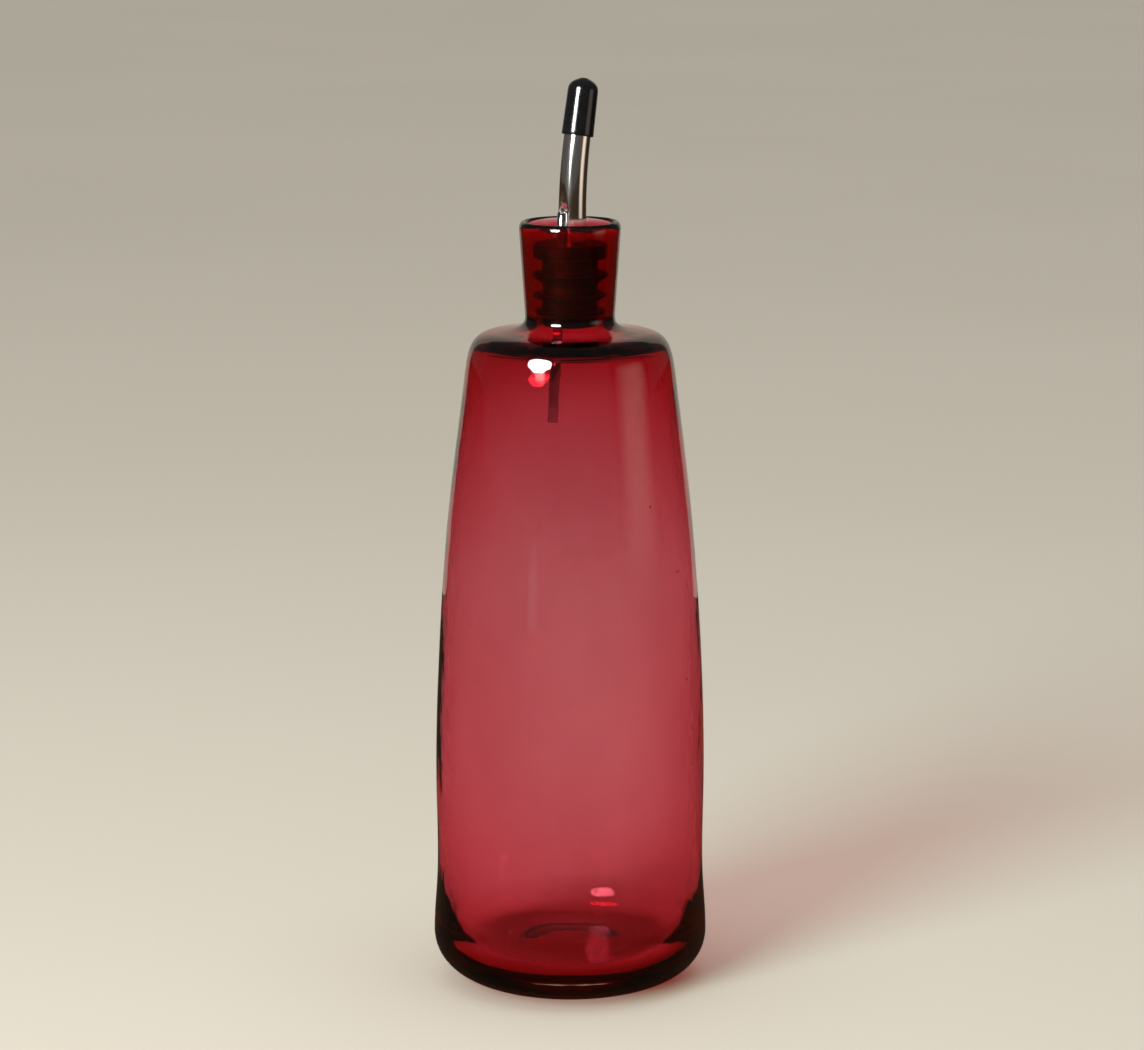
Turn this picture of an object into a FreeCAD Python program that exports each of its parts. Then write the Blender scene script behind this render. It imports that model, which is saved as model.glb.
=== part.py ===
import FreeCAD, Part
import math
import os

# Cruet of hand-blown glass for oil, closed by a pouring stopper with a capped steel spout.
# Millimetres. The origin is the middle of the foot on the table, +Z is up, +X is the pouring side.

Vector = FreeCAD.Vector
ORIGIN = Vector(0, 0, 0)
UP = Vector(0, 0, 1)
QUARTER_ROUND = 0.55           # share of its reach that a quarter round's handle takes

# Bottle, outside. Heights are above the table unless they are called a rise or a length.
foot_inner_radius = 16.5       # flat ring that the bottle stands on
foot_outer_radius = 20.5
punt_rise = 1.8                # hollow under the middle of the base
heel_radius = 42.25            # widest place, where the base rounds up into the side
heel_height = 15.85
heel_under_pull = 11.7         # how far the base stays flat before it rounds
heel_side_pull = 10.3          # how far the heel stays upright before it rounds
waist_radius = 41.32           # slight drawing-in above the heel
waist_height = 32.5
belly_radius = 41.3            # slight swelling below the middle
belly_height = 60.0
flank_radius = 40.3
flank_height = 103.0
upper_flank_radius = 37.1
upper_flank_height = 148.0
shoulder_radius = 32.2
shoulder_height = 189.0
shoulder_lean = 6.8            # degrees, the side leans in by this where the shoulder starts
shoulder_rise = 13.9           # from the side up to the crown
shoulder_side_pull = 9.5
shoulder_crown_pull = 6.5
crown_radius = 23.5            # where the rounded shoulder turns into the flat crown
crown_slope = 7.0              # degrees, the crown rises to the neck
crown_rise = 5.2               # from the outer edge of the crown to the neck's root
crown_pull = 8.0
neck_root_radius = 13.65
neck_root_pull = 3.6
neck_length = 25.7             # from the root to where the lip starts to round
neck_mouth_radius = 15.4
lip_rise = 2.6                 # rounded rim above the neck's straight run

# Bottle, glass thickness.
side_wall = 3.0
crown_wall = 4.9               # gathered glass under the crown
shoulder_wall = 2.55
inner_shoulder_drop = 3.5      # the inside starts to round this far below the outer shoulder
inner_side_pull = 6.0
turn_radius = 27.3             # where the inside turns from the side to the ceiling
turn_drop = 7.0                # from the outer edge of the crown down to that turn
turn_lean = 27.0               # degrees, the inside leans in by this at the turn
turn_side_pull = 2.4
turn_ceiling_pull = 1.6
ceiling_pull = 2.6
ceiling_radius = 23.5          # where the turn ends in the ceiling under the crown
neck_wall = 2.8                # at the root
lip_wall = 2.45                # at the mouth
floor_thickness = 10.0         # at the edge of the inner floor
floor_radius = 27.0
floor_kick = 1.6               # the inner floor swells by this in its middle
floor_pull = 9.0
corner_pull = 13.0
throat_drop = 2.4              # the bore runs straight this far below the neck's root
throat_pull = 3.4
throat_radius = 17.0           # where the throat has rounded out under the crown

# Stopper.
stopper_drop = 6.6             # from the rim down to the stopper's top
stopper_length = 26.5
flange_radius = 11.2
flange_thickness = 4.3
core_radius = 8.5
core_chamfer = 0.8
fin_clearance = 0.15           # between a fin and the bore
fin_edge = 0.6                 # thickness of a fin at its rim
fin_drops = (8.9, 15.1, 20.1)  # from the stopper's top to the flat top of each fin
fin_roots = (3.2, 2.2, 2.2)    # thickness of each fin where it meets the core

# Spout tube.
spout_radius = 4.33
spout_wall = 0.5
spout_offset = 1.0             # spout's axis from the bottle's axis, to the pouring side
spout_recess = 2.0             # from the stopper's bottom up to the tube's lower end
bend_stand = 1.0               # from the rim up to where the bend starts
bend_length = 24.6             # along the middle of the bend
bend_angle = 10.0              # degrees
tip_radius = 4.15
tip_length = 12.5              # straight end that the cap covers

# Vent tube, which lies in a groove pressed into the spout's rear.
vent_radius = 1.6
vent_wall = 0.45
vent_stand = 2.7               # from the rim up to the tube's cut end
vent_lean = 3.3                # degrees, the lower end stands away from the spout
breather_reach = 27.7          # from the stopper's bottom down to the tube's lower end
groove_depth = 1.9             # how far the groove is pressed in at the vent tube's cut end
groove_clearance = 0.1         # between the vent tube and its groove
groove_runout = 6.5            # the groove fades out over this length above the cut end
slot_width = 2.4               # passage between the two tubes' holes in the stopper

# Dust cap.
cap_length = 17.5
cap_mouth_radius = 4.88
cap_shoulder_radius = 4.62
cap_shoulder_length = 13.6     # from the mouth to where the end starts to round
cap_shoulder_pull = 2.3
cap_nose_radius = 1.6
cap_nose_slope = 25.0          # degrees, the end slopes by this round its blunt nose
cap_nose_pull = 1.4
cap_edge_round = 0.35
cap_clearance = 0.1            # between the cap's bore and the spout's tip
cap_head_room = 0.8            # between the end of the tip and the bottom of the cap's bore

# Heights that follow from the sizes above.
crown_height = shoulder_height + shoulder_rise
neck_root_height = crown_height + crown_rise
lip_height = neck_root_height + neck_length
rim_height = lip_height + lip_rise
stopper_top = rim_height - stopper_drop
stopper_bottom = stopper_top - stopper_length
spout_bottom = stopper_bottom + spout_recess
bend_start = rim_height + bend_stand
vent_top = rim_height + vent_stand
bore_root_radius = neck_root_radius - neck_wall
bore_mouth_radius = neck_mouth_radius - lip_wall


def at(radius, height):
    """A point of a turned outline, in the half plane y = 0."""
    return Vector(radius, 0, height)


def aim(angle):
    """The direction that leans by so many degrees from +Z towards +X."""
    turn = math.radians(angle)
    return Vector(math.sin(turn), 0, math.cos(turn))


def line(start, end):
    return Part.LineSegment(start, end).toShape()


def curve(start, start_pull, end_pull, end):
    """A rounded stretch that leaves start by one vector and comes into end by the other."""
    bezier = Part.BezierCurve()
    bezier.setPoles([start, start + start_pull, end - end_pull, end])
    return bezier.toShape()


def flowing(points, start_direction, end_direction):
    """One smooth curve through a few points, with the given directions at its ends."""
    spline = Part.BSplineCurve()
    spline.interpolate(
        Points=points,
        InitialTangent=start_direction,
        FinalTangent=end_direction,
    )
    return spline.toShape()


def turned(edges):
    """The solid that a closed outline sweeps round the Z axis."""
    return Part.Face(Part.Wire(edges)).revolve(ORIGIN, UP, 360)


def one_solid(shape):
    """The single solid that a cut has left."""
    (solid,) = shape.Solids
    return solid


def bore_radius(height):
    """Radius of the neck's tapered bore at a height."""
    flare = (bore_mouth_radius - bore_root_radius) / neck_length
    return bore_root_radius + flare * (height - neck_root_height)


def bottle():
    """The bottle: outside from the foot to the rim, then down the bore to the inner floor."""
    side_in = aim(-shoulder_lean)
    crown_in = aim(crown_slope - 90)
    crown_out = crown_in * -1
    turn_down = aim(-turn_lean) * -1
    neck_out = (at(neck_mouth_radius, lip_height) - at(neck_root_radius, neck_root_height)).normalize()
    bore_down = (at(bore_root_radius, neck_root_height) - at(bore_mouth_radius, lip_height)).normalize()
    rim_middle = neck_mouth_radius - lip_wall / 2
    lip_up_pull = lip_rise * QUARTER_ROUND
    lip_in_pull = Vector(-lip_wall / 2 * QUARTER_ROUND, 0, 0)
    punt_pull = foot_inner_radius * QUARTER_ROUND
    kick_pull = floor_radius / 2
    throat_height = neck_root_height - throat_drop
    ceiling = crown_height - crown_wall
    crown_tangent = math.tan(math.radians(crown_slope))

    punt_middle = at(0, punt_rise)
    foot_in = at(foot_inner_radius, 0)
    foot_out = at(foot_outer_radius, 0)
    heel = at(heel_radius, heel_height)
    shoulder = at(shoulder_radius, shoulder_height)
    crown = at(crown_radius, crown_height)
    neck_root = at(neck_root_radius, neck_root_height)
    lip_outside = at(neck_mouth_radius, lip_height)
    rim = at(rim_middle, rim_height)
    lip_inside = at(bore_mouth_radius, lip_height)
    throat = at(bore_radius(throat_height), throat_height)
    throat_end = at(throat_radius, ceiling + (crown_radius - throat_radius) * crown_tangent)
    ceiling_edge = at(ceiling_radius, ceiling + (crown_radius - ceiling_radius) * crown_tangent)
    inner_turn = at(turn_radius, crown_height - turn_drop)
    inner_shoulder = at(shoulder_radius - shoulder_wall, shoulder_height - inner_shoulder_drop)
    inner_waist = at(waist_radius - side_wall, waist_height)
    floor_edge = at(floor_radius, floor_thickness)
    floor_middle = at(0, floor_thickness + floor_kick)

    outside = [
        curve(punt_middle, Vector(punt_pull, 0, 0), Vector(punt_pull, 0, -punt_rise), foot_in),
        line(foot_in, foot_out),
        curve(foot_out, Vector(heel_under_pull, 0, 0), UP * heel_side_pull, heel),
        flowing(
            [heel, at(waist_radius, waist_height), at(belly_radius, belly_height),
             at(flank_radius, flank_height), at(upper_flank_radius, upper_flank_height), shoulder],
            UP, side_in,
        ),
        curve(shoulder, side_in * shoulder_side_pull, crown_in * shoulder_crown_pull, crown),
        curve(crown, crown_in * crown_pull, neck_out * neck_root_pull, neck_root),
        line(neck_root, lip_outside),
        curve(lip_outside, neck_out * lip_up_pull, lip_in_pull, rim),
    ]
    inside = [
        curve(rim, lip_in_pull, bore_down * lip_up_pull, lip_inside),
        line(lip_inside, throat),
        curve(throat, bore_down * throat_pull, crown_out * throat_pull, throat_end),
        line(throat_end, ceiling_edge),
        curve(ceiling_edge, crown_out * ceiling_pull, turn_down * turn_ceiling_pull, inner_turn),
        curve(inner_turn, turn_down * turn_side_pull, side_in * -inner_side_pull, inner_shoulder),
        flowing(
            [inner_shoulder, at(upper_flank_radius - side_wall, upper_flank_height),
             at(flank_radius - side_wall, flank_height), at(belly_radius - side_wall, belly_height),
             inner_waist],
            side_in * -1, UP * -1,
        ),
        curve(inner_waist, UP * -corner_pull, Vector(-floor_pull, 0, 0), floor_edge),
        curve(floor_edge, Vector(-kick_pull, 0, 0), Vector(-kick_pull, 0, 0), floor_middle),
        line(floor_middle, punt_middle),
    ]
    return turned(outside + inside)


def spout_path_end():
    """Where the spout's bend ends and its straight tip starts."""
    turn = math.radians(bend_angle)
    radius = bend_length / turn
    return Vector(spout_offset + radius * (1 - math.cos(turn)), 0, bend_start + radius * math.sin(turn))


def spout_body(inset):
    """The spout as a solid rod: straight foot, tapering bend and straight tip, less an inset all round."""
    low = Vector(spout_offset, 0, bend_start)
    high = spout_path_end()
    middle_turn = math.radians(bend_angle / 2)
    bend_radius = bend_length / math.radians(bend_angle)
    middle = low + Vector(bend_radius * (1 - math.cos(middle_turn)), 0, bend_radius * math.sin(middle_turn))
    path = Part.Wire([Part.Arc(low, middle, high).toShape()])
    foot = Part.makeCylinder(
        spout_radius - inset, bend_start - spout_bottom, Vector(spout_offset, 0, spout_bottom), UP)
    tip = Part.makeCylinder(tip_radius - inset, tip_length, high, aim(bend_angle))
    sweep = Part.BRepOffsetAPI.MakePipeShell(path)
    sweep.add(Part.Wire([Part.Circle(low, UP, spout_radius - inset).toShape()]))
    sweep.add(Part.Wire([Part.Circle(high, aim(bend_angle), tip_radius - inset).toShape()]))
    sweep.build()
    sweep.makeSolid()
    return foot.fuse([sweep.shape(), tip]).removeSplitter()


def vent_axis():
    """The vent tube's cut upper end and the direction in which it runs down."""
    spacing = spout_radius - groove_depth + groove_clearance + vent_radius
    return Vector(spout_offset - spacing, 0, vent_top), aim(vent_lean) * -1


def vent_rod(radius):
    """The vent tube's whole length as a solid rod."""
    top, down = vent_axis()
    reach = (vent_top - stopper_bottom + breather_reach) / math.cos(math.radians(vent_lean))
    return Part.makeCylinder(radius, reach, top, down)


def groove_tool(radius):
    """What the groove takes out of the spout: the vent tube's line, then a run-out to the rear."""
    top, _ = vent_axis()
    runout_angle = -math.degrees(math.atan2(groove_depth, groove_runout))
    runout = Part.makeCylinder(radius, 2 * groove_runout, top, aim(runout_angle))
    return vent_rod(radius).fuse([Part.makeSphere(radius, top), runout])


def spout_tube():
    """The steel spout: a bent tube whose wall is pressed in along the vent tube."""
    pressed = vent_radius + groove_clearance
    outer = spout_body(0).cut(groove_tool(pressed))
    inner = spout_body(spout_wall).cut(groove_tool(pressed + spout_wall))
    return one_solid(outer.cut(inner))


def vent_tube():
    return one_solid(vent_rod(vent_radius).cut(vent_rod(vent_radius - vent_wall)))


def stopper():
    """The finned stopper, with a hole for each tube and a slot that joins the two holes."""
    flange_bottom = stopper_top - flange_thickness
    outline = [at(0, stopper_top), at(flange_radius, stopper_top)]
    outline += [at(flange_radius, flange_bottom), at(core_radius, flange_bottom)]
    for drop, root in zip(fin_drops, fin_roots):
        fin_top = stopper_top - drop
        fin_radius = bore_radius(fin_top - fin_edge) - fin_clearance
        outline += [at(core_radius, fin_top), at(fin_radius, fin_top)]
        outline += [at(fin_radius, fin_top - fin_edge), at(core_radius, fin_top - root)]
    outline += [at(core_radius, stopper_bottom + core_chamfer)]
    outline += [at(core_radius - core_chamfer, stopper_bottom), at(0, stopper_bottom), at(0, stopper_top)]
    body = turned([line(a, b) for a, b in zip(outline, outline[1:])])
    spout_hole = Part.makeCylinder(
        spout_radius, stopper_length, Vector(spout_offset, 0, stopper_bottom), UP)
    vent_high, down = vent_axis()
    vent_low = vent_high + down * (vent_top - stopper_bottom + spout_radius)
    spout_low = Vector(spout_offset, 0, vent_low.z)
    spout_high = Vector(spout_offset, 0, vent_top)
    corners = [vent_low, spout_low, spout_high, vent_high]
    edges = [line(a, b) for a, b in zip(corners, corners[1:] + corners[:1])]
    slot = Part.Face(Part.Wire(edges)).extrude(Vector(0, slot_width, 0))
    slot.translate(Vector(0, -slot_width / 2, 0))
    return one_solid(body.cut([spout_hole, vent_rod(vent_radius), slot]))


def dust_cap():
    """The soft cap, turned about its own axis and then set on the spout's tip."""
    bore = tip_radius + cap_clearance
    bore_end = tip_length + cap_head_room
    mouth = at(cap_mouth_radius, cap_edge_round)
    shoulder = at(cap_shoulder_radius, cap_shoulder_length)
    nose = at(cap_nose_radius, cap_length - cap_edge_round)
    side = (shoulder - mouth).normalize()
    nose_in = aim(cap_nose_slope - 90)
    edge_pull = cap_edge_round * QUARTER_ROUND
    nose_pull = Vector(-cap_nose_radius * QUARTER_ROUND, 0, 0)
    outline = [
        line(at(bore, 0), at(cap_mouth_radius - cap_edge_round, 0)),
        curve(at(cap_mouth_radius - cap_edge_round, 0), Vector(edge_pull, 0, 0), side * edge_pull, mouth),
        line(mouth, shoulder),
        curve(shoulder, side * cap_shoulder_pull, nose_in * cap_nose_pull, nose),
        curve(nose, nose_in * edge_pull, nose_pull, at(0, cap_length)),
        line(at(0, cap_length), at(0, bore_end)),
        line(at(0, bore_end), at(bore, bore_end)),
        line(at(bore, bore_end), at(bore, 0)),
    ]
    cap = turned(outline)
    cap.rotate(ORIGIN, Vector(0, 1, 0), bend_angle)
    cap.translate(spout_path_end())
    return cap


os.makedirs("parts", exist_ok=True)
for make in (bottle, stopper, spout_tube, vent_tube, dust_cap):
    solid = make()
    solid.exportStep("parts/" + make.__name__ + ".step")
    print(make.__name__, solid.ShapeType, solid.isValid(), round(solid.Volume, 1), "mm3")
print("rim", round(rim_height, 2), "cap seat", spout_path_end(), "vent", vent_axis())
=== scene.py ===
import math

import bpy
import numpy as np
from mathutils import Matrix, Vector, noise


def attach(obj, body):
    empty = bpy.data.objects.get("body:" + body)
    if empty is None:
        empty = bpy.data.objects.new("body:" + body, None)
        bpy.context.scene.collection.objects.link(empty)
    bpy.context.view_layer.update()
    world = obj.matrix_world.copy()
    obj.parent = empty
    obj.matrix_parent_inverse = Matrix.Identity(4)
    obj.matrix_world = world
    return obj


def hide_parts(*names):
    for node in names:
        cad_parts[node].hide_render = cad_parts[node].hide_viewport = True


# Cruet of hand-blown ruby glass with a finned pouring stopper, steel spout, vent tube and dust cap.
# The object's sizes and outlines are in millimetres, as (radius, height) or (radius, length along the piece).
# Meshes, textures, camera and lights are in metres.

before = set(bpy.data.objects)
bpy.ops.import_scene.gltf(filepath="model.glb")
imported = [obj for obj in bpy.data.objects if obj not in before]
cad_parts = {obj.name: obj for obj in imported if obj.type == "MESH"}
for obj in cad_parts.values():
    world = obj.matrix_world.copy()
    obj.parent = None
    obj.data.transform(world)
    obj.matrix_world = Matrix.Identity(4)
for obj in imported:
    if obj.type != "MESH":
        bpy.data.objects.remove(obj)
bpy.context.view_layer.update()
scene = bpy.context.scene

MM = 0.001
QUARTER_ROUND = 0.55
ON_AXIS = 1e-6

# Bottle, outside.
foot_inner_radius = 16.5
foot_outer_radius = 20.5
punt_rise = 1.8
heel_radius = 42.25
heel_height = 15.85
heel_under_pull = 11.7
heel_side_pull = 10.3
waist_radius = 41.32
waist_height = 32.5
belly_radius = 41.3
belly_height = 60.0
flank_radius = 40.3
flank_height = 103.0
upper_flank_radius = 37.1
upper_flank_height = 148.0
shoulder_radius = 32.2
shoulder_height = 189.0
shoulder_lean = math.radians(6.8)
shoulder_rise = 13.9
shoulder_side_pull = 9.5
shoulder_crown_pull = 6.5
crown_radius = 23.5
crown_slope = math.radians(7.0)
crown_rise = 5.2
crown_pull = 8.0
neck_root_radius = 13.65
neck_root_pull = 3.6
neck_length = 25.7
neck_mouth_radius = 15.4
lip_rise = 2.6

# Bottle, glass thickness.
side_wall = 3.0
crown_wall = 4.9
shoulder_wall = 2.55
inner_shoulder_drop = 3.5
inner_side_pull = 6.0
turn_radius = 27.3
turn_drop = 7.0
turn_lean = math.radians(27.0)
turn_side_pull = 2.4
turn_ceiling_pull = 1.6
ceiling_pull = 2.6
ceiling_radius = 23.5
neck_wall = 2.8
lip_wall = 2.45
floor_thickness = 10.0
floor_radius = 27.0
floor_kick = 1.6
floor_pull = 9.0
corner_pull = 13.0
throat_drop = 2.4
throat_pull = 3.4
throat_radius = 17.0

# Ruby lining inside the wall: its thickness at a few heights, from the floor up to the lip.
lining_skin = 0.06
lining_heights = (
    9.0, 22.0, 60.0, 129.0, 148.0, 166.0, 176.0, 185.0, 195.0, 201.0, 208.0, 231.0, 233.5, 235.5)
lining_depths = (
    0.65, 0.42, 0.31, 0.28, 0.33, 0.40, 0.47, 0.56, 0.78, 0.85, 2.30, 2.05, 1.20, 0.30)

# Unevenness of the blown wall. It sets in above the foot and calms down in the neck.
outer_wobble = 0.14
inner_wobble = 0.32
outer_seed = 3.0
inner_seed = 11.0
wobble_length = 34.0
wobble_stretch = 1.6
wobble_starts = (2.0, 26.0)
wobble_calms = (185.0, 206.0)
neck_calm = 0.85

# Seeds in the glass, in metres, and the share of a seed that is fully dark.
speck_spacing = 0.017
speck_radius = 0.0007
speck_core = 0.4

# Stopper.
stopper_drop = 6.6
stopper_length = 26.5
flange_radius = 11.2
flange_thickness = 4.3
flange_round = 0.7
core_radius = 8.5
core_round = 0.8
fin_clearance = 0.15
fin_edge = 0.6
fin_round = 0.24
fin_drops = (8.9, 15.1, 20.1)
fin_roots = (3.2, 2.2, 2.2)
fin_fillet = 0.5
hole_bite = 0.03
drill_overrun = 2.0

# Spout tube. The rounding of a tube's edge starts at tube_edge and is edge_break deep in the middle.
spout_radius = 4.33
spout_wall = 0.5
spout_offset = 1.0
spout_recess = 2.0
bend_stand = 1.0
bend_length = 24.6
bend_angle = math.radians(10.0)
tip_radius = 4.15
tip_length = 12.5
tube_edge = 0.12
edge_break = 0.036

# Vent tube and the groove pressed into the spout for it.
vent_radius = 1.6
vent_wall = 0.45
vent_stand = 2.7
vent_lean = math.radians(3.3)
breather_reach = 27.7
groove_depth = 1.9
groove_clearance = 0.1
groove_runout = 6.5
groove_flank = 3.0
groove_soft_edge = 1.1
slot_width = 2.4

# Dust cap.
cap_length = 17.5
cap_mouth_radius = 4.88
cap_shoulder_radius = 4.62
cap_shoulder_length = 13.6
cap_shoulder_pull = 2.3
cap_nose_radius = 1.6
cap_nose_slope = math.radians(25.0)
cap_nose_pull = 1.4
cap_edge_round = 0.35
cap_clearance = 0.1
cap_head_room = 0.8
cap_bore_round = 0.4
cap_chamfer_length = 0.175
cap_chamfer_width = 0.105

# Fineness of the meshes, and the angle from which an edge between two faces stays sharp.
bottle_spokes = 144
stopper_spokes = 96
drill_spokes = 64
spout_spokes = 128
spout_rings = 110
vent_spokes = 48
vent_rings = 12
cap_spokes = 72
sharp_edge = math.radians(50.0)
sharp_hole = math.radians(40.0)
never_sharp = math.pi

# Heights and distances that follow.
crown_height = shoulder_height + shoulder_rise
neck_root_height = crown_height + crown_rise
lip_height = neck_root_height + neck_length
rim_height = lip_height + lip_rise
stopper_top = rim_height - stopper_drop
stopper_bottom = stopper_top - stopper_length
spout_bottom = stopper_bottom + spout_recess
bend_start = rim_height + bend_stand
vent_top = rim_height + vent_stand
bore_root_radius = neck_root_radius - neck_wall
bore_mouth_radius = neck_mouth_radius - lip_wall
vent_spacing = spout_radius - groove_depth + groove_clearance + vent_radius


def at(radius, height):
    """A point of an outline, or a step from one."""
    return np.array((radius, height), float)


def aim(angle):
    """Direction that leans from straight up towards larger radius."""
    return at(math.sin(angle), math.cos(angle))


def unit(vector):
    """The direction of a vector."""
    return vector / np.linalg.norm(vector)


def line(start, end, steps):
    """Points from start up to, but without, end."""
    return [start + (end - start) * k / steps for k in range(steps)]


def curve(start, start_pull, end_pull, end, steps):
    """A rounded stretch, without its end, that leaves start by one vector and comes into end by the other."""
    a, b = start + start_pull, end - end_pull
    points = []
    for k in range(steps):
        t = k / steps
        s = 1 - t
        points.append(s ** 3 * start + 3 * s * s * t * a + 3 * s * t * t * b + t ** 3 * end)
    return points


def flowing(knots, first_slope, last_slope, steps):
    """A smooth side through a few points, without the last, with radius as a spline of height."""
    height = np.array([p[1] for p in knots])
    radius = np.array([p[0] for p in knots])
    gap = np.diff(height)
    rise = np.diff(radius)
    count = len(knots)
    system = np.eye(count)
    target = np.zeros(count)
    target[0], target[-1] = first_slope, last_slope
    for i in range(1, count - 1):
        before, after = gap[i - 1], gap[i]
        system[i, i - 1:i + 2] = 1 / before, 2 / before + 2 / after, 1 / after
        target[i] = 3 * (rise[i - 1] / before ** 2 + rise[i] / after ** 2)
    slope = np.linalg.solve(system, target)
    points = []
    for k in range(steps):
        h = height[0] + (height[-1] - height[0]) * k / steps
        i = next(j for j in range(count - 1) if (h - height[j]) * (h - height[j + 1]) <= 0)
        t = (h - height[i]) / gap[i]
        r = radius[i] * (1 + 2 * t) * (1 - t) ** 2 + radius[i + 1] * t * t * (3 - 2 * t)
        r += gap[i] * (slope[i] * t * (1 - t) ** 2 - slope[i + 1] * t * t * (1 - t))
        points.append(at(r, h))
    return points


def smooth_step(low, high, value):
    """Goes softly from 0 at low to 1 at high."""
    t = min(max((value - low) / (high - low), 0.0), 1.0)
    return t * t * (3 - 2 * t)


def soft_min(a, b, reach):
    """The smaller of two values, rounded off where they are close."""
    near = max(reach - abs(a - b), 0.0) / reach
    return min(a, b) - near * near * reach / 4


def new_piece(name, verts, faces, sharp=sharp_edge):
    """A smooth-shaded mesh object from points in millimetres."""
    mesh = bpy.data.meshes.new(name)
    mesh.from_pydata([Vector(v) * MM for v in verts], [], faces)
    mesh.validate()
    mesh.shade_smooth()
    mesh.set_sharp_from_angle(angle=sharp)
    piece = bpy.data.objects.new(name, mesh)
    scene.collection.objects.link(piece)
    return piece


def skin(rings, spokes, loop):
    """Quads between rings that follow each other, triangles where a ring is a single point."""
    faces = []
    following = rings[1:] + rings[:1] if loop else rings[1:]
    for low, high in zip(rings, following):
        for k in range(spokes):
            n = (k + 1) % spokes
            corners = [low[k], low[n], high[n], high[k]]
            faces.append(list(dict.fromkeys(corners)))
    return faces


def turned(name, outline, spokes, shift=None, loop=False, sharp=sharp_edge):
    """Turns an outline round the Z axis. shift(place, radius, height, angle) moves a point outwards."""
    verts, rings = [], []
    for place, (radius, height) in enumerate(outline):
        if radius < ON_AXIS:
            rings.append([len(verts)] * spokes)
            verts.append((0, 0, height))
            continue
        rings.append([len(verts) + k for k in range(spokes)])
        for k in range(spokes):
            angle = 2 * math.pi * k / spokes
            r = radius + (shift(place, radius, height, angle) if shift else 0.0)
            verts.append((r * math.cos(angle), r * math.sin(angle), height))
    return new_piece(name, verts, skin(rings, spokes, loop), sharp)


def bore_radius(height):
    """Radius of the neck's bore at a height."""
    flare = (bore_mouth_radius - bore_root_radius) / neck_length
    return bore_root_radius + flare * (height - neck_root_height)


def ceiling_at(radius):
    """The point of the cavity's ceiling at a radius."""
    return at(radius, crown_height - crown_wall + (crown_radius - radius) * math.tan(crown_slope))


# Bottle outlines: the outside from the punt to the rim, the inside from the rim to the floor's middle.
UP = at(0, 1)
side_in = aim(-shoulder_lean)
crown_in = aim(crown_slope - math.pi / 2)
turn_down = -aim(-turn_lean)
neck_out = unit(at(neck_mouth_radius - neck_root_radius, neck_length))
bore_down = unit(at(bore_root_radius - bore_mouth_radius, -neck_length))
lip_up_pull = lip_rise * QUARTER_ROUND
lip_in_pull = at(-lip_wall / 2 * QUARTER_ROUND, 0)
punt_pull = foot_inner_radius * QUARTER_ROUND
floor_middle_pull = at(-floor_radius / 2, 0)
throat_height = neck_root_height - throat_drop
lean_slope = -math.tan(shoulder_lean)

punt_middle = at(0, punt_rise)
foot_in = at(foot_inner_radius, 0)
foot_out = at(foot_outer_radius, 0)
heel = at(heel_radius, heel_height)
shoulder = at(shoulder_radius, shoulder_height)
crown = at(crown_radius, crown_height)
neck_root = at(neck_root_radius, neck_root_height)
lip_outside = at(neck_mouth_radius, lip_height)
rim = at(neck_mouth_radius - lip_wall / 2, rim_height)
lip_inside = at(bore_mouth_radius, lip_height)
throat = at(bore_radius(throat_height), throat_height)
throat_end = ceiling_at(throat_radius)
ceiling_edge = ceiling_at(ceiling_radius)
inner_turn = at(turn_radius, crown_height - turn_drop)
inner_shoulder = at(shoulder_radius - shoulder_wall, shoulder_height - inner_shoulder_drop)
inner_waist = at(waist_radius - side_wall, waist_height)
floor_edge = at(floor_radius, floor_thickness)
floor_middle = at(0, floor_thickness + floor_kick)

outside = curve(punt_middle, at(punt_pull, 0), at(punt_pull, -punt_rise), foot_in, steps=8)
outside += line(foot_in, foot_out, steps=3)
outside += curve(foot_out, at(heel_under_pull, 0), UP * heel_side_pull, heel, steps=20)
outside += flowing(
    [heel, at(waist_radius, waist_height), at(belly_radius, belly_height),
     at(flank_radius, flank_height), at(upper_flank_radius, upper_flank_height), shoulder],
    first_slope=0.0, last_slope=lean_slope, steps=60)
outside += curve(shoulder, side_in * shoulder_side_pull, crown_in * shoulder_crown_pull, crown, steps=18)
outside += curve(crown, crown_in * crown_pull, neck_out * neck_root_pull, neck_root, steps=16)
outside += line(neck_root, lip_outside, steps=12)
outside += curve(lip_outside, neck_out * lip_up_pull, lip_in_pull, rim, steps=8)

inside = curve(rim, lip_in_pull, bore_down * lip_up_pull, lip_inside, steps=8)
inside += line(lip_inside, throat, steps=14)
inside += curve(throat, bore_down * throat_pull, -crown_in * throat_pull, throat_end, steps=10)
inside += line(throat_end, ceiling_edge, steps=4)
inside += curve(
    ceiling_edge, -crown_in * ceiling_pull, turn_down * turn_ceiling_pull, inner_turn, steps=10)
inside += curve(
    inner_turn, turn_down * turn_side_pull, side_in * -inner_side_pull, inner_shoulder, steps=12)
inside += flowing(
    [inner_shoulder, at(upper_flank_radius - side_wall, upper_flank_height),
     at(flank_radius - side_wall, flank_height), at(belly_radius - side_wall, belly_height), inner_waist],
    first_slope=lean_slope, last_slope=0.0, steps=56)
inside += curve(inner_waist, UP * -corner_pull, at(-floor_pull, 0), floor_edge, steps=18)
inside += curve(floor_edge, floor_middle_pull, floor_middle_pull, floor_middle, steps=12)
inside += [floor_middle]


def ripple(height, angle, seed):
    """Slow swelling of a blown wall, from -1 to 1, none at the foot and little in the neck."""
    place = Vector((math.cos(angle), math.sin(angle), 0)) * belly_radius / wobble_length
    place.z = height / (wobble_stretch * wobble_length) + seed
    calm = smooth_step(*wobble_starts, height) * (1 - neck_calm * smooth_step(*wobble_calms, height))
    return noise.noise(place) * calm


def cavity_shift(place, radius, height, angle):
    """Unevenness of the cavity, which the lining shares. It dies out towards the floor's middle."""
    return inner_wobble * smooth_step(0.0, floor_radius, radius) * ripple(height, angle, inner_seed)


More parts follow.
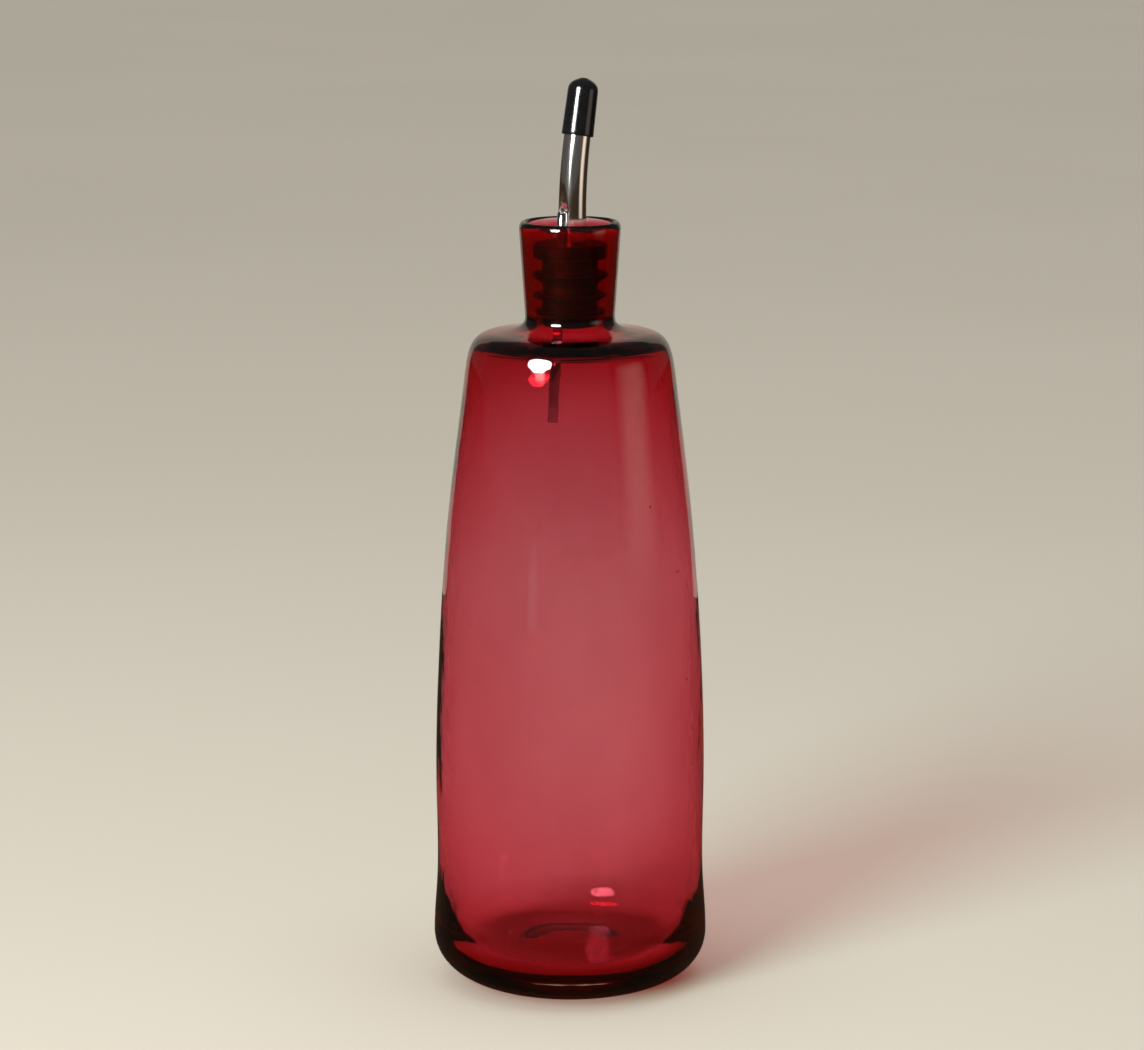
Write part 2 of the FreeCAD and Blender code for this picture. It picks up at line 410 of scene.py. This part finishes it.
def wall_shift(place, radius, height, angle):
    """Unevenness of the whole wall: the outside comes first in its outline, then the cavity."""
    if place < len(outside):
        return outer_wobble * ripple(height, angle, outer_seed)
    return cavity_shift(place, radius, height, angle)


bottle_glass = turned("bottle_glass", outside + inside, bottle_spokes, wall_shift, sharp=never_sharp)

# The lining is a closed shell just inside the glass, along the cavity from the lip to the floor.
points_of_free_rim = 3
lined = inside[points_of_free_rim:]
steps_along = np.gradient(np.array(lined), axis=0)
into_glass = np.array([unit(at(-s[1], s[0])) for s in steps_along])
into_glass[-1] = -UP
lining_depth = np.interp([p[1] for p in lined], lining_heights, lining_depths)
lining_inner = [p + n * lining_skin for p, n in zip(lined, into_glass)]
lining_outer = [p + n * (lining_skin + d) for p, n, d in zip(lined, into_glass, lining_depth)]
lining_outer[-1][0] = 0.0
lining_inner[-1][0] = 0.0
bottle_lining = turned(
    "bottle_lining", lining_outer[:0:-1] + lining_inner, bottle_spokes, cavity_shift, sharp=never_sharp)


# Stopper: a turned body with rounded edges. Its holes follow once both tubes have their places.
def rounded(corners, rounds, steps=4):
    """A closed outline whose corners are rounded, each by its own reach."""
    points = []
    for i, (corner, reach) in enumerate(zip(corners, rounds)):
        before, after = corners[i - 1], corners[(i + 1) % len(corners)]
        if reach == 0:
            points.append(corner)
            continue
        start = corner + unit(before - corner) * reach
        end = corner + unit(after - corner) * reach
        points += curve(start, (corner - start) * QUARTER_ROUND, (end - corner) * QUARTER_ROUND, end, steps)
        points.append(end)
    return points


flange_bottom = stopper_top - flange_thickness
corners = [at(0, stopper_bottom), at(core_radius, stopper_bottom)]
rounds = [0, core_round]
for drop, root in reversed(list(zip(fin_drops, fin_roots))):
    fin_top = stopper_top - drop
    fin_radius = bore_radius(fin_top - fin_edge) - fin_clearance
    corners += [at(core_radius, fin_top - root), at(fin_radius, fin_top - fin_edge)]
    corners += [at(fin_radius, fin_top), at(core_radius, fin_top)]
    rounds += [fin_fillet, fin_round, fin_round, fin_fillet]
corners += [at(core_radius, flange_bottom), at(flange_radius, flange_bottom)]
corners += [at(flange_radius, stopper_top), at(0, stopper_top)]
rounds += [fin_fillet, flange_round, flange_round, 0]
stopper_body = turned("stopper_body", rounded(corners, rounds), stopper_spokes)


# Places of the two tubes.
def leaning(angle):
    """Direction of an axis that leans from straight up towards +X."""
    return Vector((math.sin(angle), 0, math.cos(angle)))


def placed(piece, point, lean):
    """Sets a piece that was turned round its own axis at a point, in millimetres, leaning towards +X."""
    piece.data.transform(Matrix.Translation(Vector(point) * MM) @ Matrix.Rotation(lean, 4, "Y"))
    return piece


vent_end = Vector((spout_offset - vent_spacing, 0, vent_top))
vent_length = (vent_top - stopper_bottom + breather_reach) / math.cos(vent_lean)
vent_start = vent_end - leaning(vent_lean) * vent_length
bend_radius = bend_length / bend_angle
spout_length = bend_start - spout_bottom + bend_length + tip_length


def vent_line(height):
    """Where the vent tube's axis is along X, at a height."""
    return vent_end.x - (vent_top - height) * math.tan(vent_lean)


def groove_line(height):
    """Where the groove's axis is along X: on the vent tube's axis, and above it running out to the rear."""
    running_out = vent_end.x - (height - vent_top) * groove_depth / groove_runout
    return min(vent_line(height), running_out)


def spout_station(length):
    """Centre, lean and radius of the spout at a length from its lower end."""
    straight = bend_start - spout_bottom
    if length <= straight:
        return Vector((spout_offset, 0, spout_bottom + length)), 0.0, spout_radius
    turn = min((length - straight) / bend_radius, bend_angle)
    centre = Vector((spout_offset + bend_radius * (1 - math.cos(turn)), 0,
                     bend_start + bend_radius * math.sin(turn)))
    radius = spout_radius + (tip_radius - spout_radius) * turn / bend_angle
    beyond = length - straight - bend_length
    if beyond > 0:
        centre += leaning(bend_angle) * beyond
    return centre, turn, radius


# Spout: rings along its axis, pressed in where the vent tube lies.
def pressed(radius, inset, centre, angle):
    """The spout's radius at an angle round it, less an inset, with the groove pressed in softly."""
    away = abs(math.remainder(angle - math.pi, 2 * math.pi))
    if away > math.pi / 2:
        return radius - inset
    off = centre.x - groove_line(centre.z)
    reach = vent_radius + groove_clearance + inset
    across = off * math.sin(away)
    if across < reach:
        bite = math.sqrt(reach * reach - across * across)
    else:
        bite = groove_flank * (reach - across)
    return soft_min(off * math.cos(away) - bite, radius - inset, groove_soft_edge)


def spout_skin(walk):
    """Points and rings along the spout, for pairs of an inset and a length from its lower end."""
    sideways = Vector((0, 1, 0))
    verts, rings = [], []
    for inset, length in walk:
        centre, lean, radius = spout_station(length)
        forward = Vector((math.cos(lean), 0, -math.sin(lean)))
        rings.append([len(verts) + k for k in range(spout_spokes)])
        for k in range(spout_spokes):
            angle = 2 * math.pi * k / spout_spokes
            r = pressed(radius, inset, centre, angle)
            verts.append(centre + (forward * math.cos(angle) + sideways * math.sin(angle)) * r)
    return verts, rings


lengths = [tube_edge + (spout_length - 2 * tube_edge) * k / spout_rings for k in range(spout_rings + 1)]
spout_walk = [(edge_break, edge_break)]
spout_walk += [(0.0, length) for length in lengths]
spout_walk += [(edge_break, spout_length - edge_break), (tube_edge, spout_length)]
spout_walk += [(spout_wall - tube_edge, spout_length), (spout_wall - edge_break, spout_length - edge_break)]
spout_walk += [(spout_wall, length) for length in reversed(lengths)]
spout_walk += [(spout_wall - edge_break, edge_break), (spout_wall - tube_edge, 0.0), (tube_edge, 0.0)]
spout_verts, spout_loops = spout_skin(spout_walk)
spout_steel = new_piece("spout_steel", spout_verts, skin(spout_loops, spout_spokes, loop=True))


# Holes in the stopper: one for each tube, and a slot that joins the two.
def rod(name, radius, length):
    """A plain rod round the Z axis."""
    return turned(name, [at(0, 0), at(radius, 0), at(radius, length), at(0, length)], drill_spokes)


def drilled(piece, drill):
    """Cuts one piece by another, which is then gone."""
    cut = piece.modifiers.new("hole", "BOOLEAN")
    cut.object = drill
    cut.solver = "EXACT"
    bpy.context.view_layer.update()
    done = bpy.data.meshes.new_from_object(piece.evaluated_get(bpy.context.evaluated_depsgraph_get()))
    piece.modifiers.clear()
    uncut = piece.data
    piece.data = done
    bpy.data.meshes.remove(uncut)
    bpy.data.objects.remove(drill)
    piece.data.shade_smooth()
    piece.data.set_sharp_from_angle(angle=sharp_hole)


spout_drill = placed(
    rod("spout_drill", spout_radius - hole_bite, stopper_length + 2 * drill_overrun),
    (spout_offset, 0, stopper_bottom - drill_overrun), 0.0)
vent_drill = placed(rod("vent_drill", vent_radius - hole_bite, vent_length), vent_start, vent_lean)
slot_side = slot_width / 2
slot_corners = []
for z in (stopper_bottom - drill_overrun, stopper_top + drill_overrun):
    slot_corners += [(vent_line(z), -slot_side, z), (spout_offset, -slot_side, z)]
    slot_corners += [(spout_offset, slot_side, z), (vent_line(z), slot_side, z)]
slot_drill = new_piece(
    "slot_drill", slot_corners,
    [(3, 2, 1, 0), (4, 5, 6, 7), (0, 1, 5, 4), (1, 2, 6, 5), (2, 3, 7, 6), (3, 0, 4, 7)])
for drill in (spout_drill, vent_drill, slot_drill):
    drilled(stopper_body, drill)

# Vent tube.
vent_bore = vent_radius - vent_wall
vent_outline = [at(vent_radius - tube_edge, 0), at(vent_radius, tube_edge)]
vent_outline += [at(vent_radius, vent_length * k / vent_rings) for k in range(1, vent_rings)]
vent_outline += [at(vent_radius, vent_length - tube_edge), at(vent_radius - tube_edge, vent_length)]
vent_outline += [at(vent_bore + tube_edge, vent_length), at(vent_bore, vent_length - tube_edge)]
vent_outline += [at(vent_bore, tube_edge), at(vent_bore + tube_edge, 0)]
vent_steel = placed(turned("vent_steel", vent_outline, vent_spokes, loop=True), vent_start, vent_lean)

# Dust cap.
cap_bore = tip_radius + cap_clearance
cap_bore_end = tip_length + cap_head_room
cap_mouth = at(cap_mouth_radius, cap_edge_round)
cap_shoulder = at(cap_shoulder_radius, cap_shoulder_length)
cap_nose = at(cap_nose_radius, cap_length - cap_edge_round)
cap_end = at(0, cap_length)
cap_side = unit(cap_shoulder - cap_mouth)
nose_in = aim(cap_nose_slope - math.pi / 2)
edge_pull = cap_edge_round * QUARTER_ROUND
cap_outline = [at(0, cap_bore_end), at(cap_bore - cap_bore_round, cap_bore_end)]
cap_outline += [at(cap_bore, cap_bore_end - cap_bore_round), at(cap_bore, cap_chamfer_length)]
cap_outline += [at(cap_bore + cap_chamfer_width, 0)]
cap_outline += curve(
    at(cap_mouth_radius - cap_edge_round, 0), at(edge_pull, 0), cap_side * edge_pull, cap_mouth, steps=6)
cap_outline += line(cap_mouth, cap_shoulder, steps=14)
cap_outline += curve(
    cap_shoulder, cap_side * cap_shoulder_pull, nose_in * cap_nose_pull, cap_nose, steps=16)
cap_outline += curve(
    cap_nose, nose_in * edge_pull, at(-cap_nose_radius * QUARTER_ROUND, 0), cap_end, steps=8)
cap_outline += [cap_end]
cap_seat, cap_lean, _ = spout_station(spout_length - tip_length)
cap_vinyl = placed(turned("cap_vinyl", cap_outline, cap_spokes), cap_seat, cap_lean)

# Materials. Tones and gloss drift at a share of the grain's scale.
NOISE_LOW = 0.3
NOISE_HIGH = 0.7
TONE_SHARE = 0.12
GLOSS_SHARE = 0.3
FINE_DETAIL = 4.0


def material(name):
    """A new material with its empty node tree."""
    made = bpy.data.materials.new(name)
    made.use_nodes = True
    made.node_tree.nodes.clear()
    return made, made.node_tree.nodes, made.node_tree.links


def add(nodes, kind, **values):
    """A node with some of its inputs and settings given by name, with _ for the spaces of an input."""
    node = nodes.new("ShaderNode" + kind)
    for key, value in values.items():
        socket = key.replace("_", " ")
        if socket in node.inputs:
            node.inputs[socket].default_value = value
        else:
            setattr(node, key, value)
    return node


def output(nodes, links, surface, volume=None):
    """Ends a material with its surface and, in glass, with what fills it."""
    out = add(nodes, "OutputMaterial")
    links.new(surface, out.inputs["Surface"])
    if volume:
        links.new(volume, out.inputs["Volume"])


def noise_map(nodes, links, scale, stretch=(1, 1, 1), detail=3.0, low=0.0, high=1.0):
    """Noise over the piece's own coordinates, mapped from where most of it lies to a range."""
    place = add(nodes, "TexCoord")
    mapping = add(nodes, "Mapping", Scale=stretch)
    texture = add(nodes, "TexNoise", Scale=scale, Detail=detail)
    spread = add(nodes, "MapRange", From_Min=NOISE_LOW, From_Max=NOISE_HIGH, To_Min=low, To_Max=high)
    links.new(place.outputs["Object"], mapping.inputs["Vector"])
    links.new(mapping.outputs["Vector"], texture.inputs["Vector"])
    links.new(texture.outputs["Fac"], spread.inputs["Value"])
    return spread.outputs["Result"]


def two_tone(nodes, links, factor, tones):
    """A colour that goes from the first tone to the second with a factor."""
    first, second = tones
    mix = add(nodes, "Mix", data_type="RGBA", A=(*first, 1), B=(*second, 1))
    links.new(factor, mix.inputs["Factor"])
    return mix.outputs["Result"]


def bump(nodes, links, height, distance, strength):
    """Relief from a height map, as deep as the distance."""
    node = add(nodes, "Bump", Strength=strength, Distance=distance)
    links.new(height, node.inputs["Height"])
    return node.outputs["Normal"]


def specks(nodes, links, tint, tone):
    """A tint with a few seeds in it, small dark specks as blown glass has them."""
    share = speck_radius / speck_spacing
    place = add(nodes, "TexCoord")
    cells = add(nodes, "TexVoronoi", Scale=1 / speck_spacing)
    spot = add(
        nodes, "MapRange", interpolation_type="SMOOTHSTEP", From_Min=share, From_Max=speck_core * share)
    mix = add(nodes, "Mix", data_type="RGBA", B=(*tone, 1))
    links.new(place.outputs["Object"], cells.inputs["Vector"])
    links.new(cells.outputs["Distance"], spot.inputs["Value"])
    links.new(spot.outputs["Result"], mix.inputs["Factor"])
    links.new(tint, mix.inputs["A"])
    return mix.outputs["Result"]


def glass_material():
    """Clear glass with a slight haze, which lets light through to what is behind it."""
    made, nodes, links = material("clear_glass")
    shader = add(nodes, "BsdfPrincipled", IOR=1.5, Roughness=0.0, Transmission_Weight=1.0)
    drift = noise_map(nodes, links, scale=26.0)
    tint = two_tone(nodes, links, drift, ((0.97, 0.965, 0.945), (1.0, 1.0, 0.99)))
    waves = noise_map(nodes, links, scale=60.0, stretch=(1, 1, 0.6))
    links.new(specks(nodes, links, tint, tone=(0.12, 0.05, 0.05)), shader.inputs["Base Color"])
    links.new(bump(nodes, links, waves, distance=0.0004, strength=0.25), shader.inputs["Normal"])
    shade = add(nodes, "BsdfTransparent", Color=(0.92, 0.92, 0.9, 1))
    rays = add(nodes, "LightPath")
    mix = add(nodes, "MixShader")
    haze = add(nodes, "VolumeAbsorption", Color=(0.55, 0.50, 0.30, 1), Density=18.0)
    links.new(rays.outputs["Is Shadow Ray"], mix.inputs["Fac"])
    links.new(shader.outputs["BSDF"], mix.inputs[1])
    links.new(shade.outputs["BSDF"], mix.inputs[2])
    output(nodes, links, mix.outputs["Shader"], haze.outputs["Volume"])
    return made


def lining_material():
    """Ruby colour that fills the lining. Its surface doesn't bend light, since it is fused to the glass."""
    made, nodes, links = material("ruby_lining")
    clear = add(nodes, "BsdfTransparent")
    drift = noise_map(nodes, links, scale=30.0, stretch=(1, 1, 0.4))
    tint = two_tone(nodes, links, drift, ((1.0, 1.0, 1.0), (0.97, 0.92, 0.93)))
    links.new(tint, clear.inputs["Color"])
    colour = add(nodes, "VolumeAbsorption", Color=(0.90, 0.0, 0.20, 1), Density=2800.0)
    output(nodes, links, clear.outputs["BSDF"], colour.outputs["Volume"])
    return made


def surface_material(name, tones, gloss, grain, relief, relief_strength,
                     metallic=0.0, specular=0.5, stretch=(1, 1, 1)):
    """A two-tone surface with a fine grain, whose roughness drifts between the two values of gloss."""
    made, nodes, links = material(name)
    shader = add(nodes, "BsdfPrincipled", Metallic=metallic, Specular_IOR_Level=specular)
    drift = noise_map(nodes, links, grain * TONE_SHARE, stretch)
    rough = noise_map(nodes, links, grain * GLOSS_SHARE, stretch, FINE_DETAIL, *gloss)
    fine = noise_map(nodes, links, grain, stretch, FINE_DETAIL)
    links.new(two_tone(nodes, links, drift, tones), shader.inputs["Base Color"])
    links.new(rough, shader.inputs["Roughness"])
    links.new(bump(nodes, links, fine, relief, relief_strength), shader.inputs["Normal"])
    output(nodes, links, shader.outputs["BSDF"])
    return made


def dull_material(name, tones, scale, rough=0.0):
    """A surface without gloss, of two tones that drift into each other."""
    made, nodes, links = material(name)
    shader = add(nodes, "BsdfDiffuse", Roughness=rough)
    links.new(two_tone(nodes, links, noise_map(nodes, links, scale), tones), shader.inputs["Color"])
    output(nodes, links, shader.outputs["BSDF"])
    return made


def glow_material(name, tone, strength):
    """A surface that glows evenly."""
    made, nodes, links = material(name)
    shine = add(nodes, "Emission", Color=(*tone, 1), Strength=strength)
    output(nodes, links, shine.outputs["Emission"])
    return made


drawn_grain = (1, 1, 0.03)
glass = glass_material()
ruby = lining_material()
steel = surface_material(
    "polished_steel", tones=((0.69, 0.66, 0.62), (0.77, 0.74, 0.70)), gloss=(0.08, 0.15),
    grain=2600.0, relief=0.00001, relief_strength=0.3, metallic=1.0, stretch=drawn_grain)
# The vent tube gets the spout's steel painted darker: painted shade for the tube inside the red bottle.
steel_with_painted_shade = surface_material(
    "steel_with_painted_shade", tones=((0.34, 0.33, 0.32), (0.42, 0.41, 0.39)), gloss=(0.03, 0.07),
    grain=2600.0, relief=0.00001, relief_strength=0.3, metallic=1.0, stretch=drawn_grain)
plastic = surface_material(
    "black_stopper", tones=((0.006, 0.0058, 0.0055), (0.011, 0.0105, 0.01)), gloss=(0.34, 0.48),
    grain=2400.0, relief=0.00003, relief_strength=0.4, specular=0.2)
vinyl = surface_material(
    "black_vinyl", tones=((0.004, 0.004, 0.0045), (0.007, 0.007, 0.0075)), gloss=(0.10, 0.18),
    grain=1500.0, relief=0.00002, relief_strength=0.3)


def finish_piece(piece, body, node, finish):
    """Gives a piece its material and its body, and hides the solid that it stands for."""
    piece.data.materials.clear()
    piece.data.materials.append(finish)
    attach(piece, body)
    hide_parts(node)


finish_piece(bottle_glass, "bottle", "bottle", glass)
finish_piece(bottle_lining, "bottle", "bottle", ruby)
finish_piece(stopper_body, "pourer", "stopper", plastic)
finish_piece(spout_steel, "pourer", "spout_tube", steel)
finish_piece(vent_steel, "pourer", "vent_tube", steel_with_painted_shade)
finish_piece(cap_vinyl, "cap", "dust_cap", vinyl)

# Camera, at the photograph's viewing angle.
camera_turn = math.radians(-45.0)
camera_pitch = math.radians(10.88)
camera_distance = 1.191
camera_height = 0.372
camera_side = 0.0006
focal_length = 124.8
sensor_width = 36.0
toward = Vector((-math.sin(camera_turn), math.cos(camera_turn), 0))
right = Vector((math.cos(camera_turn), math.sin(camera_turn), 0))
lens = bpy.data.cameras.new("camera")
lens.sensor_fit = "HORIZONTAL"
lens.sensor_width = sensor_width
lens.lens = focal_length
camera = bpy.data.objects.new("camera", lens)
camera.location = right * camera_side - toward * camera_distance + Vector((0, 0, camera_height))
camera.rotation_euler = (math.pi / 2 - camera_pitch, 0, camera_turn)
scene.collection.objects.link(camera)
scene.camera = camera

# Stage and light: a pale floor, a dim even room, a soft light from above and a softbox left of the camera.
floor_reach = 30.0
floor_tones = ((0.515, 0.475, 0.396), (0.53, 0.489, 0.41))
room_tone = (1.0, 0.97, 0.92)
room_strength = 0.1
ceiling_strength = 2.45
ceiling_spread = math.radians(50.0)
lamp_aim = Vector((0, 0, 0.13))
lamp_sides = 8
cloth_sides = 48
cloth_lift = 0.0006
cloth_tones = ((0.040, 0.026, 0.016), (0.058, 0.038, 0.024))
wall_tone = (0.468, 0.429, 0.356)


def sheet(name, corners, finish):
    """A flat object with one face, not yet in the scene."""
    mesh = bpy.data.meshes.new(name)
    mesh.from_pydata(corners, [], [list(range(len(corners)))])
    mesh.materials.append(finish)
    return bpy.data.objects.new(name, mesh)


def light_only(lamp):
    """Puts a lamp in the scene that lights things but isn't seen itself."""
    lamp.visible_camera = lamp.visible_glossy = lamp.visible_transmission = False
    scene.collection.objects.link(lamp)


def stand_in(card, in_gloss, through_glass):
    """Puts a part of the photograph's room on the stage, to show in reflections, through glass or in both."""
    card.visible_camera = card.visible_diffuse = card.visible_shadow = False
    card.visible_glossy = in_gloss
    card.visible_transmission = through_glass
    scene.collection.objects.link(card)


def round_object(side_angle, distance, height):
    """A place round the object, by its angle to the left of the camera."""
    swing = Matrix.Rotation(-side_angle, 3, "Z") @ -toward
    return Vector((swing.x * distance, swing.y * distance, height))


def softbox(name, side_angle, distance, height, radius, power, glow):
    """An eight-sided lamp aimed at the object. Its light comes from a round lamp, its gloss from a card."""
    data = bpy.data.lights.new(name, "AREA")
    data.shape = "DISK"
    data.size = 2 * radius
    data.energy = power
    lamp = bpy.data.objects.new(name, data)
    lamp.location = round_object(side_angle, distance, height)
    lamp.rotation_euler = (lamp_aim - lamp.location).to_track_quat("-Z", "Y").to_euler()
    light_only(lamp)
    turns = [math.pi * (2 * k + 1) / lamp_sides for k in range(lamp_sides)]
    corners = [(radius * math.cos(turn), radius * math.sin(turn), 0) for turn in turns]
    face = sheet(name + "_face", corners, glow_material(name + "_face", tone=(1, 1, 1), strength=glow))
    face.location, face.rotation_euler = lamp.location, lamp.rotation_euler
    stand_in(face, in_gloss=True, through_glass=True)


def dark_cloth(name, radius):
    """A round dark cloth that lies on the floor about the object."""
    turns = [2 * math.pi * k / cloth_sides for k in range(cloth_sides)]
    corners = [(radius * math.cos(turn), radius * math.sin(turn), 0) for turn in turns]
    cloth = sheet(name, corners, dull_material(name, cloth_tones, scale=5.0))
    cloth.location.z = cloth_lift
    stand_in(cloth, in_gloss=True, through_glass=False)


def back_wall(name, distance, width, tall, through_glass):
    """A pale wall behind the object, which shows either in gloss or through glass."""
    x = width / 2
    corners = [(-x, 0, 0), (x, 0, 0), (x, 0, tall), (-x, 0, tall)]
    wall = sheet(name, corners, glow_material(name, wall_tone, strength=1.0))
    wall.location = toward * distance
    wall.rotation_euler = (0, 0, camera_turn)
    stand_in(wall, in_gloss=not through_glass, through_glass=through_glass)


def fading_glow(name, x, z, core, glow, tint):
    """A glow that fades out from an even core to the edges of a card that reaches to x and z."""
    made, nodes, links = material(name)
    place = add(nodes, "TexCoord")
    mapping = add(nodes, "Mapping", Scale=(1 / x, 1, 1 / z))
    split = add(nodes, "SeparateXYZ")
    level = add(nodes, "Math", operation="MULTIPLY")
    shine = add(nodes, "Emission", Color=(*tint, 1))
    links.new(place.outputs["Object"], mapping.inputs["Vector"])
    links.new(mapping.outputs["Vector"], split.inputs["Vector"])
    for factor, axis, peak in zip(level.inputs, ("X", "Z"), (glow, 1.0)):
        off_middle = add(nodes, "Math", operation="ABSOLUTE")
        fade = add(
            nodes, "MapRange", interpolation_type="SMOOTHSTEP", From_Min=1.0, From_Max=core, To_Max=peak)
        links.new(split.outputs[axis], off_middle.inputs[0])
        links.new(off_middle.outputs["Value"], fade.inputs["Value"])
        links.new(fade.outputs["Result"], factor)
    links.new(level.outputs["Value"], shine.inputs["Strength"])
    output(nodes, links, shine.outputs["Emission"])
    return made


def gloss_card(name, side_angle, distance, base, width, tall, core, glow, tint):
    """An upright card that faces the object and shows in gloss."""
    x, z = width / 2, tall / 2
    corners = [(-x, 0, -z), (x, 0, -z), (x, 0, z), (-x, 0, z)]
    card = sheet(name, corners, fading_glow(name, x, z, core, glow, tint))
    card.location = round_object(side_angle, distance, base + z)
    card.rotation_euler = (0, 0, math.atan2(card.location.y, card.location.x) + math.pi / 2)
    stand_in(card, in_gloss=True, through_glass=False)


floor = sheet(
    "floor",
    [(-floor_reach, -floor_reach, 0), (floor_reach, -floor_reach, 0),
     (floor_reach, floor_reach, 0), (-floor_reach, floor_reach, 0)],
    dull_material("pale_floor", floor_tones, scale=2.0, rough=0.6))
scene.collection.objects.link(floor)

world = bpy.data.worlds.new("studio")
world.use_nodes = True
room = world.node_tree.nodes["Background"]
room.inputs["Color"].default_value = (*room_tone, 1)
room.inputs["Strength"].default_value = room_strength
scene.world = world

ceiling_light = bpy.data.lights.new("ceiling", "SUN")
ceiling_light.energy = ceiling_strength
ceiling_light.angle = ceiling_spread
light_only(bpy.data.objects.new("ceiling", ceiling_light))

softbox("key", side_angle=math.radians(36), distance=1.06, height=0.69, radius=0.277, power=13.3, glow=45.0)
gloss_card("right_card", side_angle=math.radians(-70), distance=0.9, base=0.0, width=0.80, tall=0.6,
           core=0.15, glow=1.3, tint=(1.0, 0.84, 0.70))
gloss_card("left_card", side_angle=math.radians(33), distance=1.2, base=0.30, width=0.24, tall=0.40,
           core=0.45, glow=6.5, tint=(1.0, 0.98, 0.95))
gloss_card("low_card", side_angle=math.radians(33), distance=1.2, base=-0.06, width=0.26, tall=0.22,
           core=0.2, glow=0.5, tint=(0.90, 0.96, 1.0))
dark_cloth("dark_cloth", radius=45.0)
back_wall("near_wall", distance=0.6, width=0.83, tall=0.62, through_glass=False)
back_wall("far_wall", distance=2.0, width=6.0, tall=1.6, through_glass=True)

# Glass needs many bounces.
scene.cycles.max_bounces = 24
scene.cycles.transmission_bounces = 24
scene.cycles.glossy_bounces = 12
scene.cycles.transparent_max_bounces = 40
scene.cycles.caustics_reflective = False
scene.cycles.caustics_refractive = False
scene.view_settings.view_transform = "Standard"

bpy.context.view_layer.update()
